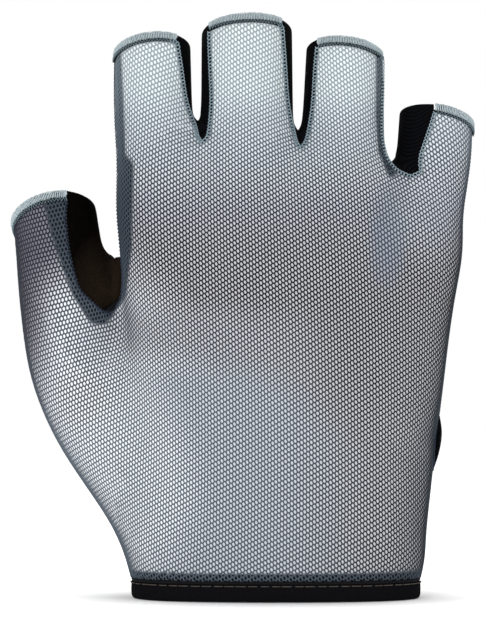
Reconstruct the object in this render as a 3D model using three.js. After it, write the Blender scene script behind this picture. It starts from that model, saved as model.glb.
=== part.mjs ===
// Cycling glove for the right hand, without finger ends, in the filled form it has when worn.
// It stands on its cuff. Millimetres, +Z up towards the fingers, the back of the hand faces -Y,
// the thumb points to -X and the origin is the middle of the wrist mouth.
import * as THREE from "three";

// Driving sizes of the worn form.
const gloveLength = 162;
const knuckleWidth = 97;
const palmDepth = 43;

// Sizes of the materials and the trim.
const meshWall = 1.2;
const suedeWall = 1.4;
const knitWall = 1.1;
const seamGap = 0.3;
const hemHeight = 2.2;
const hemThickness = 2.4;
const cuffHeight = 5.5;
const cuffThickness = 2.6;
const cuffProud = 0.3;
const tabThickness = 2.6;
const tabProud = 1.9;

// The forms are drafted from a line that lies this far below the finished lower edge.
const draftLine = 1.5;

// Radii of the soft joins between the forms.
const rootBlend = 8;
const thumbBlend = { base: 9, web: 18, crotch: 4.5 };
const fingerBlend = 0.8;
const topRounding = 12;

// How many rows and columns of quads a stretch of cloth has.
const fingerRows = 5;
const upperRows = 9;
const lowerRows = 13;
const thumbRows = 8;
const gapColumns = 2;
const webColumns = 6;
const thumbColumns = 7;
const thumbPalmColumns = 5;
const forkColumns = 5;

// In every table x is a share of knuckleWidth, y of palmDepth and z of gloveLength.
const lengths = { x: knuckleWidth, y: palmDepth, z: gloveLength };

// The hand without thumb and fingers: its four sides at each height.
const bodyColumns = ["z", "x", "x", "y", "y"];
const bodyRows = [
  // z, left, right, front, back
  [0.0, -0.405, 0.396, -0.488, 0.488],
  [0.043, -0.406, 0.402, -0.495, 0.5],
  [0.093, -0.408, 0.413, -0.5, 0.512],
  [0.185, -0.412, 0.431, -0.512, 0.558],
  [0.296, -0.423, 0.454, -0.512, 0.581],
  [0.401, -0.433, 0.474, -0.5, 0.558],
  [0.525, -0.442, 0.492, -0.465, 0.488],
  [0.617, -0.434, 0.514, -0.419, 0.419],
  [0.71, -0.438, 0.536, -0.349, 0.349],
  [0.802, -0.459, 0.546, -0.279, 0.302],
];

// How high the web between the fingers stands, from the thumb side to the little finger's side.
const topColumns = ["x", "z"];
const topRows = [
  // x, z
  [-0.52, 0.66],
  [-0.35, 0.78],
  [-0.224, 0.8],
  [0.057, 0.786],
  [0.2, 0.76],
  [0.326, 0.733],
  [0.5, 0.63],
];

// Thumb and fingers: middle and half widths of each at each height.
const limbColumns = ["z", "x", "y", "x", "y"];
const limbRows = {
  thumb: [
    // z, middle x, middle y, half width, half depth
    [-0.05, -0.16, 0.02, 0.14, 0.34],
    [0.049, -0.232, 0.047, 0.148, 0.36],
    [0.123, -0.305, 0.093, 0.155, 0.38],
    [0.191, -0.377, 0.14, 0.162, 0.385],
    [0.259, -0.448, 0.163, 0.168, 0.38],
    [0.327, -0.509, 0.163, 0.164, 0.37],
    [0.395, -0.554, 0.163, 0.157, 0.349],
    [0.5, -0.597, 0.151, 0.139, 0.314],
    [0.596, -0.621, 0.14, 0.126, 0.291],
    [0.691, -0.642, 0.128, 0.12, 0.279],
    [0.772, -0.666, 0.116, 0.118, 0.274],
  ],
  index: [
    [0.4, -0.26, 0.02, 0.05, 0.17],
    [0.617, -0.329, 0.0, 0.1, 0.29],
    [0.802, -0.35, 0.023, 0.109, 0.267],
    [0.988, -0.355, 0.093, 0.107, 0.251],
  ],
  middle: [
    [0.4, -0.07, 0.02, 0.09, 0.2],
    [0.617, -0.09, 0.0, 0.126, 0.325],
    [0.802, -0.088, 0.012, 0.131, 0.291],
    [1.019, -0.088, 0.093, 0.13, 0.279],
  ],
  ring: [
    [0.4, 0.13, 0.02, 0.07, 0.2],
    [0.617, 0.165, 0.0, 0.115, 0.315],
    [0.802, 0.184, 0.019, 0.117, 0.279],
    [0.988, 0.19, 0.105, 0.106, 0.256],
  ],
  little: [
    [0.34, 0.32, 0.02, 0.05, 0.16],
    [0.556, 0.4, 0.0, 0.085, 0.25],
    [0.741, 0.439, 0.023, 0.106, 0.244],
    [0.87, 0.45, 0.081, 0.104, 0.228],
  ],
};

// Where each limb is cut off: height on its middle line, and how the cut rises with x and y.
// A positive angle lies towards +X of the limb's front, 180 is its palm side.
const limbs = {
  thumb: { cut: 0.66, riseX: 0.18, riseY: -0.5, columns: thumbColumns },
  index: { cut: 0.9395, riseX: 0.08, riseY: -0.43, columns: 6, palmColumns: 8 },
  middle: { cut: 0.968, riseX: 0.04, riseY: -0.43, columns: 7, palmColumns: 5 },
  ring: { cut: 0.935, riseX: -0.1, riseY: -0.38, columns: 6, palmColumns: 5 },
  little: { cut: 0.8235, riseX: -0.15, riseY: -0.38, columns: 6, palmColumns: 7 },
};

// The seams between two fingers. Each runs down one finger, round a U and up the next one.
// Angles are the seam's place on the finger at its tip and where the U begins.
const forks = [
  {
    name: "fourchette_index_middle",
    left: "index",
    right: "middle",
    front: { leftTip: 39, leftRoot: 60, rightTip: -56, rightRoot: -46 },
    back: { leftTip: 128, leftRoot: 122, rightTip: -130, rightRoot: -122 },
    armEnd: 0.808,
    bottom: { x: -0.212, z: 0.779 },
    gap: { x: -0.229, y: 0.02 },
  },
  {
    name: "fourchette_middle_ring",
    left: "middle",
    right: "ring",
    front: { leftTip: 51, leftRoot: 62, rightTip: -45, rightRoot: -48 },
    back: { leftTip: 130, leftRoot: 122, rightTip: -128, rightRoot: -122 },
    armEnd: 0.801,
    bottom: { x: 0.062, z: 0.769 },
    gap: { x: 0.056, y: 0.02 },
  },
  {
    name: "fourchette_ring_little",
    left: "ring",
    right: "little",
    front: { leftTip: 72, leftRoot: 58, rightTip: -3, rightRoot: -24 },
    back: { leftTip: 130, leftRoot: 122, rightTip: -128, rightRoot: -120 },
    armEnd: 0.752,
    bottom: { x: 0.374, z: 0.7215 },
    gap: { x: 0.318, y: 0.03 },
  },
];

// Long seams, each as an angle round a middle line at some heights.
const outerSeam = [
  // z, angle round the thumb
  [0.66, -135],
  [0.49, -125],
  [0.3, -115],
  [0.12, -106],
  [0.04, -102],
];
const indexSeam = [
  // z, angle round the index finger
  [0.93, -95],
  [0.79, -84],
  [0.716, -73],
  [0.61, -70],
  [0.54, -66],
];
const thumbSeam = [
  // z, angle round the thumb
  [0.684, 18],
  [0.6, 15],
  [0.53, 20],
];
const littleAngle = 104;

// The V of the mesh between thumb and hand, and the valley of suede that leads over the crotch.
const crotch = { x: -0.496, z: 0.496 };
const valley = { left: -0.54, right: -0.41, y: 0.12 };

// The middle of the hand's right side at each height, which its side seam is measured round.
const pivotRows = [
  // z, x, y
  [0.0, 0.19, 0.0],
  [0.3, 0.245, 0.0],
  [0.5, 0.35, 0.0],
  [0.556, 0.38, 0.0],
  [0.741, 0.439, 0.023],
  [0.87, 0.45, 0.081],
];

// The pull tab in the little finger's side seam: where the mesh gives way to it and it stands proudest.
const tab = { low: 0.222, peak: 0.285, high: 0.3125, cutback: 22 };

// Soft folds of the worn mesh: a line from one point to another in the front view.
// Width is a share of knuckleWidth, rise is a share of the depth, negative for a dent.
const folds = [
  { from: [-0.71, 0.56], to: [-0.6, 0.4], width: 0.035, rise: 0.02 },
  { from: [-0.6, 0.42], to: [-0.42, 0.47], width: 0.04, rise: -0.024 },
  { from: [-0.56, 0.37], to: [-0.38, 0.4], width: 0.04, rise: 0.016 },
  { from: [0.46, 0.3], to: [0.36, 0.24], width: 0.045, rise: -0.02 },
  { from: [0.43, 0.07], to: [0.3, 0.12], width: 0.045, rise: 0.02 },
  { from: [-0.45, 0.17], to: [-0.3, 0.09], width: 0.05, rise: -0.018 },
];

const radians = THREE.MathUtils.degToRad;
const mix = THREE.MathUtils.lerp;

// A table as a function of its first column: smooth between rows, level past its ends.
function profile(rows, columns) {
  const real = rows.map((row) => row.map((share, i) => share * (lengths[columns[i]] ?? 1)));
  const slope = (i, column) => {
    const before = real[Math.max(i - 1, 0)];
    const after = real[Math.min(i + 1, real.length - 1)];
    return (after[column] - before[column]) / (after[0] - before[0]);
  };
  const slopes = real.map((row, i) => row.map((_, column) => slope(i, column)));
  return (key) => {
    let i = 0;
    while (i < real.length - 2 && key > real[i + 1][0]) i += 1;
    const step = real[i + 1][0] - real[i][0];
    const t = THREE.MathUtils.clamp((key - real[i][0]) / step, 0, 1);
    const rise = t * t * (3 - 2 * t);
    const leave = t * (1 - t) * (1 - t) * step;
    const arrive = t * t * (t - 1) * step;
    return real[i].map((value, column) => {
      const smooth = mix(value, real[i + 1][column], rise);
      return smooth + slopes[i][column] * leave + slopes[i + 1][column] * arrive;
    });
  };
}

// The lesser of two distances, with the corner between them rounded over the radius.
function softMin(a, b, radius) {
  const h = Math.max(radius - Math.abs(a - b), 0) / radius;
  return Math.min(a, b) - (h * h * radius) / 4;
}

const bodyAt = profile(bodyRows, bodyColumns);
const topAt = profile(topRows, topColumns);
const pivotAt = profile(pivotRows, ["z", "x", "y"]);
for (const [name, limb] of Object.entries(limbs)) {
  limb.name = name;
  limb.at = profile(limbRows[name], limbColumns);
  limb.foot = limbRows[name][0][0] * gloveLength;
}
const fingers = [limbs.index, limbs.middle, limbs.ring, limbs.little];
const bodySquareness = 2.4;

function bodyField(x, y, z) {
  const [, left, right, front, back] = bodyAt(z);
  const halfWidth = (right - left) / 2;
  const halfDepth = (back - front) / 2;
  const u = Math.abs(x - (left + right) / 2) / halfWidth;
  const v = Math.abs(y - (front + back) / 2) / halfDepth;
  const power = bodySquareness - 1;
  const size = Math.max((u ** bodySquareness + v ** bodySquareness) ** (1 / bodySquareness), 1e-4);
  const steepness = Math.hypot(u ** power / halfWidth, v ** power / halfDepth) / size ** power;
  const side = (size - 1) / Math.max(steepness, 1e-3);
  return -softMin(-side, topAt(x)[1] - z, topRounding);
}

function limbField(limb, x, y, z) {
  const [, middleX, middleY, halfWidth, halfDepth] = limb.at(z);
  const u = (x - middleX) / halfWidth;
  const v = (y - middleY) / halfDepth;
  const size = Math.max(Math.hypot(u, v), 1e-4);
  const side = (size * (size - 1)) / Math.hypot(u / halfWidth, v / halfDepth);
  return Math.max(side, limb.foot - z);
}

const foldSideDepth = palmDepth * 0.1;

// How far the folds push the front of the glove out at a point.
function foldRise(x, y, z) {
  const facing = THREE.MathUtils.smoothstep(-y, -foldSideDepth, foldSideDepth);
  if (facing === 0) return 0;
  let total = 0;
  for (const fold of folds) {
    const startX = fold.from[0] * knuckleWidth;
    const startZ = fold.from[1] * gloveLength;
    const spanX = fold.to[0] * knuckleWidth - startX;
    const spanZ = fold.to[1] * gloveLength - startZ;
    const reach = ((x - startX) * spanX + (z - startZ) * spanZ) / (spanX ** 2 + spanZ ** 2);
    const t = THREE.MathUtils.clamp(reach, 0, 1);
    const away = Math.hypot(x - startX - t * spanX, z - startZ - t * spanZ);
    const width = fold.width * knuckleWidth;
    total += fold.rise * palmDepth * Math.exp(-((away / width) ** 2));
  }
  return total * facing;
}

// Between these shares of the length the thumb's join grows tight towards the crotch.
// On the palm side, past these shares of the depth, a web of suede stands higher between the two.
const blendChange = { from: 0.38, to: 0.56 };
const webChange = { from: 0.57, to: 0.63 };
const webRise = { from: 0.42, to: 0.52 };
const webDepth = { from: -0.02, to: 0.2 };

// Signed distance, nearly, to the outside of the worn glove: negative inside.
function skin(point) {
  const { x, y, z } = point;
  let fingerSide = limbField(limbs.index, x, y, z);
  for (const finger of fingers.slice(1)) {
    fingerSide = softMin(fingerSide, limbField(finger, x, y, z), fingerBlend);
  }
  const hand = softMin(bodyField(x, y, z), fingerSide, rootBlend);
  const behind = THREE.MathUtils.smoothstep(y / palmDepth, webDepth.from, webDepth.to);
  const loose = mix(blendChange.from, webChange.from, behind);
  const tight = mix(blendChange.to, webChange.to, behind);
  const height = THREE.MathUtils.smoothstep(z / gloveLength, loose, tight);
  const web = behind * THREE.MathUtils.smoothstep(z / gloveLength, webRise.from, webRise.to);
  const blend = mix(mix(thumbBlend.base, thumbBlend.web, web), thumbBlend.crotch, height);
  return softMin(hand, limbField(limbs.thumb, x, y, z), blend) - foldRise(x, y, z);
}

const probe = 0.02;

function gradientAt(point) {
  const here = (dx, dy, dz) => skin({ x: point.x + dx, y: point.y + dy, z: point.z + dz });
  return new THREE.Vector3(
    here(probe, 0, 0) - here(-probe, 0, 0),
    here(0, probe, 0) - here(0, -probe, 0),
    here(0, 0, probe) - here(0, 0, -probe),
  ).divideScalar(2 * probe);
}

const normalAt = (point) => gradientAt(point).normalize();

const settleRounds = 10;
const settleError = 1e-4;

// Moves a point that lies near the outside onto it.
function settle(point) {
  const settled = point.clone();
  for (let i = 0; i < settleRounds; i += 1) {
    const height = skin(settled);
    if (Math.abs(height) < settleError) break;
    const gradient = gradientAt(settled);
    const stride = -height / Math.max(gradient.lengthSq(), 0.05);
    settled.addScaledVector(gradient, THREE.MathUtils.clamp(stride, -3, 3));
  }
  return settled;
}

const castStep = 0.8;
const castReach = knuckleWidth;

// The first point of the outside on a ray that starts inside the glove.
function castOut(origin, direction) {
  const at = (t) => origin.clone().addScaledVector(direction, t);
  let inner = 0;
  while (inner < castReach && skin(at(inner + castStep)) < 0) inner += castStep;
  let outer = inner + castStep;
  for (let i = 0; i < 22; i += 1) {
    const middle = (inner + outer) / 2;
    if (skin(at(middle)) < 0) inner = middle;
    else outer = middle;
  }
  return at(outer);
}

// The direction of an angle round an upright middle line, rising by the given slope.
function bearing(angle, rise = 0) {
  return new THREE.Vector3(Math.sin(radians(angle)), -Math.cos(radians(angle)), rise);
}

const middleOf = (limb, z) => new THREE.Vector3(limb.at(z)[1], limb.at(z)[2], z);
const aroundLimb = (limb, angle, z) => castOut(middleOf(limb, z), bearing(angle));

// A point on a limb's cut edge, or the given drop below it.
function cutPoint(limb, angle, drop) {
  const rise = limb.riseX * Math.sin(radians(angle)) - limb.riseY * Math.cos(radians(angle));
  return castOut(middleOf(limb, limb.cut * gloveLength - drop), bearing(angle, rise));
}

const range = (count) => Array.from({ length: count + 1 }, (_, i) => i / count);

function cutEdge(limb, from, to, count, drop) {
  return range(count).map((t) => cutPoint(limb, mix(from, to, t), drop));
}

// The points that divide a polyline into equal lengths.
function resample(points, count) {
  const travelled = [0];
  for (let i = 1; i < points.length; i += 1) {
    travelled.push(travelled[i - 1] + points[i].distanceTo(points[i - 1]));
  }
  const total = travelled[points.length - 1];
  return range(count).map((t) => {
    if (t === 0) return points[0];
    if (t === 1) return points[points.length - 1];
    let i = 1;
    while (travelled[i] < t * total) i += 1;
    const part = (t * total - travelled[i - 1]) / (travelled[i] - travelled[i - 1]);
    return settle(points[i - 1].clone().lerp(points[i], part));
  });
}

const angleOf = (limb, point) => {
  const middle = middleOf(limb, point.z);
  return THREE.MathUtils.radToDeg(Math.atan2(point.x - middle.x, middle.y - point.y));
};

// A row on a limb from one point to another, turning +1 over the front or -1 over the palm side.
// Its middle is lifted by the given height.
function wrapRow(limb, start, end, count, turn, lift = 0) {
  const from = angleOf(limb, start);
  let to = angleOf(limb, end);
  while ((to - from) * turn < 0) to += 360 * turn;
  return range(count).map((t) => {
    if (t === 0) return start;
    if (t === 1) return end;
    const z = mix(start.z, end.z, t) + lift * Math.sin(Math.PI * t);
    return aroundLimb(limb, mix(from, to, t), z);
  });
}

// Half an ellipse from one point over another to a third, laid on the outside.
function arch(start, top, end, count) {
  const middle = start.clone().lerp(end, 0.5);
  return range(count).map((t) => {
    if (t === 0) return start;
    if (t === 1) return end;
    const along = start.clone().lerp(end, (1 - Math.cos(Math.PI * t)) / 2);
    return settle(along.addScaledVector(top.clone().sub(middle), Math.sin(Math.PI * t)));
  });
}

// A row across the glove at one height, over its front or over its palm side.
// It starts at an angle round the thumb or at an x, and ends at an angle round the right pivot.
function acrossRow(z, face, start, end, count) {
  const left = middleOf(limbs.thumb, z);
  const right = new THREE.Vector3(pivotAt(z)[1], pivotAt(z)[2], z);
  const points = [];
  if (start.angle !== undefined) {
    const facing = face === "front" ? 0 : -180;
    for (const t of range(14).slice(0, -1)) {
      points.push(castOut(left, bearing(mix(start.angle, facing, t))));
    }
  }
  const straight = bearing(face === "front" ? 0 : 180);
  const startX = start.x ?? left.x;
  const endX = end.x ?? right.x;
  for (const t of range(26)) {
    const x = mix(startX, endX, t);
    const y = mix(left.y, right.y, (x - left.x) / (right.x - left.x));
    points.push(castOut(new THREE.Vector3(x, y, z), straight));
  }
  if (end.angle !== undefined) {
    const facing = face === "front" ? 0 : 180;
    for (const t of range(14).slice(1)) {
      points.push(castOut(right, bearing(mix(facing, end.angle, t))));
    }
  }
  return resample(points, count);
}

const evenRounds = 6;

// Moves the inner points of a grid towards the middle of their neighbours.
function evenOut(grid) {
  const before = grid.map((row) => [...row]);
  for (let i = 1; i < grid.length - 1; i += 1) {
    for (let j = 1; j < grid[i].length - 1; j += 1) {
      const middle = before[i - 1][j].clone().add(before[i + 1][j]);
      middle.add(before[i][j - 1]).add(before[i][j + 1]).divideScalar(4);
      grid[i][j] = settle(middle);
    }
  }
}

// Fills the patch between four edges that share their corners, and lays it on the outside.
function patch(top, bottom, left, right) {
  const lastRow = left.length - 1;
  const lastColumn = top.length - 1;
  const blend = (a, b, t) => a.clone().lerp(b, t);
  const grid = left.map((_, i) => {
    if (i === 0) return top;
    if (i === lastRow) return bottom;
    return top.map((_, j) => {
      if (j === 0) return left[i];
      if (j === lastColumn) return right[i];
      const u = j / lastColumn;
      const v = i / lastRow;
      const corners = blend(blend(top[0], top[lastColumn], u), blend(bottom[0], bottom[lastColumn], u), v);
      const seed = blend(top[j], bottom[j], v).add(blend(left[i], right[i], u)).sub(corners);
      return settle(seed);
    });
  });
  for (let round = 0; round < evenRounds; round += 1) evenOut(grid);
  return grid;
}

// Joins grids of points into one sheet: its points, triangles that face out, and its edge.
function joinSheet(grids) {
  const points = [];
  const numbers = new Map();
  const number = (point) => {
    const key = point.toArray().map((value) => value.toFixed(4)).join(" ");
    if (!numbers.has(key)) {
      numbers.set(key, points.length);
      points.push(point.clone());
    }
    return numbers.get(key);
  };
  const triangles = [];
  const facing = ([a, b, c]) => {
    const across = points[b].clone().sub(points[a]).cross(points[c].clone().sub(points[a]));
    const middle = points[a].clone().add(points[b]).add(points[c]).divideScalar(3);
    return across.dot(gradientAt(middle));
  };
  for (const grid of grids) {
    const found = [];
    for (let i = 1; i < grid.length; i += 1) {
      for (let j = 1; j < grid[i].length; j += 1) {
        const [a, b] = [number(grid[i - 1][j - 1]), number(grid[i - 1][j])];
        const [c, d] = [number(grid[i][j]), number(grid[i][j - 1])];
        const acrossFirst = points[a].distanceTo(points[c]) <= points[b].distanceTo(points[d]);
        found.push(...(acrossFirst ? [[a, b, c], [a, c, d]] : [[a, b, d], [b, c, d]]));
      }
    }
    const outward = found.reduce((sum, triangle) => sum + facing(triangle), 0) > 0;
    for (const [a, b, c] of found) {
      if (a !== b && b !== c && c !== a) triangles.push(outward ? [a, b, c] : [a, c, b]);
    }
  }
  const next = new Map();
  const used = new Set(triangles.flatMap(([a, b, c]) => [`${a} ${b}`, `${b} ${c}`, `${c} ${a}`]));
  for (const [a, b, c] of triangles) {
    for (const [from, to] of [[a, b], [b, c], [c, a]]) {
      if (!used.has(`${to} ${from}`)) next.set(from, to);
    }
  }
  return { points, triangles, next };
}

// Draws the sheet's edge in by half a seam, so that neighbours keep the seam gap.
function drawIn(sheet) {
  const before = new Map([...sheet.next].map(([from, to]) => [to, from]));
  const moved = new Map();
  for (const [here, after] of sheet.next) {
    const point = sheet.points[here];
    const normal = normalAt(point);
    const ahead = sheet.points[after].clone().sub(point).cross(normal).negate().normalize();
    const behind = point.clone().sub(sheet.points[before.get(here)]).cross(normal).negate().normalize();
    const inward = ahead.add(behind).normalize();
    const sharpness = Math.max(inward.dot(behind), 0.5);
    moved.set(here, settle(point.clone().addScaledVector(inward, seamGap / 2 / sharpness)));
  }
  for (const [here, point] of moved) sheet.points[here] = point;
}

function meshFrom(name, points, triangles, material) {
  const geometry = new THREE.BufferGeometry();
  const positions = points.flatMap(({ x, y, z }) => [x, y, z - draftLine]);
  geometry.setAttribute("position", new THREE.Float32BufferAttribute(positions, 3));
  geometry.setIndex(triangles.flat());
  geometry.computeVertexNormals();
  const mesh = new THREE.Mesh(geometry, material);
  mesh.name = name;
  return mesh;
}

// A sheet of cloth as a closed solid, from its outside inwards by the wall.
// It may stand proud of the skin by a distance that differs from point to point.
function clothPiece(name, grids, wall, material, proudAt = () => 0) {
  const sheet = joinSheet(grids);
  drawIn(sheet);
  const normals = sheet.points.map(normalAt);
  const shifted = (distance) => sheet.points.map((point, i) => {
    return point.clone().addScaledVector(normals[i], distance + proudAt(point));
  });
  const count = sheet.points.length;
  const inside = sheet.triangles.map(([a, b, c]) => [a + count, c + count, b + count]);
  const rim = [...sheet.next].flatMap(([a, b]) => [
    [b, a, a + count],
    [b, a + count, b + count],
  ]);
  const points = [...shifted(0), ...shifted(-wall)];
  return meshFrom(name, points, [...sheet.triangles, ...inside, ...rim], material);
}

const sectionSides = 8;

// A band of rounded section along stations, each with a middle, an outward and an upward vector.
function bandPiece(name, stations, closed, material) {
  const points = stations.flatMap(({ middle, outward, upward }) => {
    return range(sectionSides).slice(0, -1).map((t) => {
      const turn = 2 * Math.PI * (t + 0.5 / sectionSides);
      const squared = (value) => Math.sign(value) * Math.abs(value) ** 0.6;
      return middle.clone()
        .addScaledVector(outward, squared(Math.cos(turn)))
        .addScaledVector(upward, squared(Math.sin(turn)));
    });
  });
  const triangles = [];
  const spans = closed ? stations.length : stations.length - 1;
  for (let i = 0; i < spans; i += 1) {
    const here = i * sectionSides;
    const there = ((i + 1) % stations.length) * sectionSides;
    for (let j = 0; j < sectionSides; j += 1) {
      const k = (j + 1) % sectionSides;
      triangles.push([here + j, there + j, there + k]);
      triangles.push([here + j, there + k, here + k]);
    }
  }
  if (!closed) {
    const last = (stations.length - 1) * sectionSides;
    for (let j = 2; j < sectionSides; j += 1) {
      triangles.push([0, j - 1, j]);
      triangles.push([last, last + j, last + j - 1]);
    }
  }
  return meshFrom(name, points, triangles, material);
}

const clothMaterial = (color, roughness) => {
  return new THREE.MeshStandardMaterial({ color, roughness, metalness: 0 });
};
const mesh = clothMaterial("#6f7f8c", 0.85);
const suede = clothMaterial("#1d1815", 0.95);
const knit = clothMaterial("#101218", 0.7);
const overlock = clothMaterial("#7f959d", 0.9);
const binding = clothMaterial("#14141a", 0.8);

// Seams, each worked out once and shared by the pieces that meet there.
// A limb's rail starts at the height of the mesh's edge, one hem below the cut.
function limbRail(limb, tipAngle, rootAngle, rootZ, count) {
  const tip = cutPoint(limb, tipAngle, hemHeight);
  return range(count).map((t) => {
    if (t === 0) return tip;
    return aroundLimb(limb, mix(tipAngle, rootAngle, t), mix(tip.z, rootZ, t));
  });
}

const cosHalf = Math.SQRT1_2;

// The U seam between two fingers on one face: a rail on each finger and the bottom point.
function forkSeam(fork, face) {
  const angles = fork[face];
  const armEnd = fork.armEnd * gloveLength;
  const left = limbRail(limbs[fork.left], angles.leftTip, angles.leftRoot, armEnd, fingerRows - 1);
  const right = limbRail(limbs[fork.right], angles.rightTip, angles.rightRoot, armEnd, fingerRows - 1);
  const inside = new THREE.Vector3(fork.bottom.x * knuckleWidth, 0, fork.bottom.z * gloveLength);
  const bottom = castOut(inside, bearing(face === "front" ? 0 : 180));
  const middle = left.at(-1).clone().lerp(right.at(-1), 0.5);
  const dip = bottom.clone().sub(middle);
  const corner = (end) => {
    const side = middle.clone().lerp(end, cosHalf);
    return settle(side.addScaledVector(dip, cosHalf));
  };
  left.push(corner(left.at(-1)));
  right.push(corner(right.at(-1)));
  return { left, bottom, right };
}
for (const fork of forks) {
  fork.frontSeam = forkSeam(fork, "front");
  fork.backSeam = forkSeam(fork, "back");
}

// A seam given as angles at heights, as points between two of those heights.
function seamPoints(rows, limb, fromZ, toZ) {
  const angleAt = profile([...rows].reverse(), ["z", "angle"]);
  return range(30).map((t) => {
    const z = mix(fromZ, toZ, t);
    return aroundLimb(limb, angleAt(z)[1], z);
  });
}

const crotchX = crotch.x * knuckleWidth;
const crotchZ = crotch.z * gloveLength;
const cuffTop = draftLine + cuffHeight;
const crotchFront = castOut(new THREE.Vector3(crotchX, valley.y * palmDepth, crotchZ), bearing(0));

// The lowest point between thumb and hand in a direction: -90 is the front, 0 up, 90 the palm side.
function valleyPoint(angle) {
  const direction = new THREE.Vector3(0, Math.sin(radians(angle)), Math.cos(radians(angle)));
  let lowest;
  let least = Infinity;
  for (const t of range(24)) {
    const x = mix(valley.left, valley.right, t) * knuckleWidth;
    const origin = new THREE.Vector3(x, valley.y * palmDepth, crotchZ);
    const point = castOut(origin, direction);
    const reach = point.distanceTo(origin);
    if (reach < least) {
      least = reach;
      lowest = point;
    }
  }
  return lowest;
}
const overCrotch = range(24).slice(1).map((t) => valleyPoint(mix(-90, 90, t)));
const webLine = resample([crotchFront, ...overCrotch], webColumns);
const crotchBack = webLine.at(-1);

const thumbTipLeft = cutPoint(limbs.thumb, outerSeam[0][1], hemHeight);
const outerThumb = resample(
  [thumbTipLeft, ...seamPoints(outerSeam, limbs.thumb, thumbTipLeft.z, crotchZ).slice(1)],
  thumbRows,
);
const outerLower = resample(seamPoints(outerSeam, limbs.thumb, crotchZ, cuffTop), lowerRows);
const outerAngleAt = profile([...outerSeam].reverse(), ["z", "angle"]);

const thumbTipRight = cutPoint(limbs.thumb, thumbSeam[0][1], hemHeight);
const thumbSeamEnd = thumbSeam.at(-1)[0] * gloveLength;
const thumbRail = resample(
  [
    thumbTipRight,
    ...seamPoints(thumbSeam, limbs.thumb, thumbTipRight.z, thumbSeamEnd).slice(1),
    crotchFront,
  ],
  thumbRows,
);

const rootLeftZ = forks[0].frontSeam.left.at(-1).z;
const rootRightZ = forks[2].frontSeam.right.at(-1).z;
const indexTip = cutPoint(limbs.index, indexSeam[0][1], hemHeight);
const indexSeamEnd = indexSeam.at(-1)[0] * gloveLength;
const indexFinger = resample(
  [indexTip, ...seamPoints(indexSeam, limbs.index, indexTip.z, rootLeftZ).slice(1)],
  fingerRows,
);
const indexUpper = resample(
  [...seamPoints(indexSeam, limbs.index, rootLeftZ, indexSeamEnd), crotchFront],
  upperRows,
);

function pivotPoint(angle, z) {
  return castOut(new THREE.Vector3(pivotAt(z)[1], pivotAt(z)[2], z), bearing(angle));
}
const littleTip = cutPoint(limbs.little, littleAngle, hemHeight);
const rightSeam = (fromZ, toZ, count) => {
  return resample(range(30).map((t) => pivotPoint(littleAngle, mix(fromZ, toZ, t))), count);
};
const littleFinger = resample(
  [littleTip, ...range(20).slice(1).map((t) => pivotPoint(littleAngle, mix(littleTip.z, rootRightZ, t)))],
  fingerRows,
);
const littleUpper = rightSeam(rootRightZ, crotchZ, upperRows);
const littleLower = rightSeam(crotchZ, cuffTop, lowerRows);

// The mesh's own right edge draws back from the side seam where the pull tab is sewn in.
const tabLow = tab.low * gloveLength;
const tabHigh = tab.high * gloveLength;
const tabPeak = tab.peak * gloveLength;
const tabMiddle = (tabLow + tabHigh) / 2;
const tabHalf = (tabHigh - tabLow) / 2;
function drawnBack(point) {
  const share = Math.max(1 - ((point.z - tabMiddle) / tabHalf) ** 2, 0);
  if (share === 0) return point;
  return pivotPoint(littleAngle - tab.cutback * share ** 0.5, point.z);
}
const meshRight = littleLower.map(drawnBack);

// Columns of the rows that cross the hand from the crotch to the little finger's side.
const frontColumns = fingers.reduce((sum, finger) => sum + finger.columns, 0) + 3 * gapColumns;
const backColumns = fingers.reduce((sum, finger) => sum + finger.palmColumns, 0) + 3 * gapColumns;
const palmAcross = backColumns - webColumns;

// The strips of one face on the fingers, and the row along their roots.
function fingerStrips(face) {
  const turn = face === "front" ? 1 : -1;
  const seamName = face === "front" ? "frontSeam" : "backSeam";
  const strips = [];
  const rootRow = [];
  fingers.forEach((finger, i) => {
    const count = face === "front" ? finger.columns : finger.palmColumns;
    const left = i === 0 ? indexFinger : forks[i - 1][seamName].right;
    const right = i === 3 ? littleFinger : forks[i][seamName].left;
    const from = angleOf(finger, left[0]);
    let to = angleOf(finger, right[0]);
    while ((to - from) * turn < 0) to += 360 * turn;
    const edge = cutEdge(finger, from, to, count, hemHeight);
    const top = [left[0], ...edge.slice(1, -1), right[0]];
    const bottom = wrapRow(finger, left.at(-1), right.at(-1), count, turn);
    const strip = patch(top, bottom, left, right);
    if (face === "back") strip.unshift(cutEdge(finger, from, to, count, 0));
    strips.push(strip);
    rootRow.push(...bottom);
    if (i < 3) rootRow.push(forks[i][seamName].bottom);
  });
  return { strips, rootRow };
}

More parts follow.
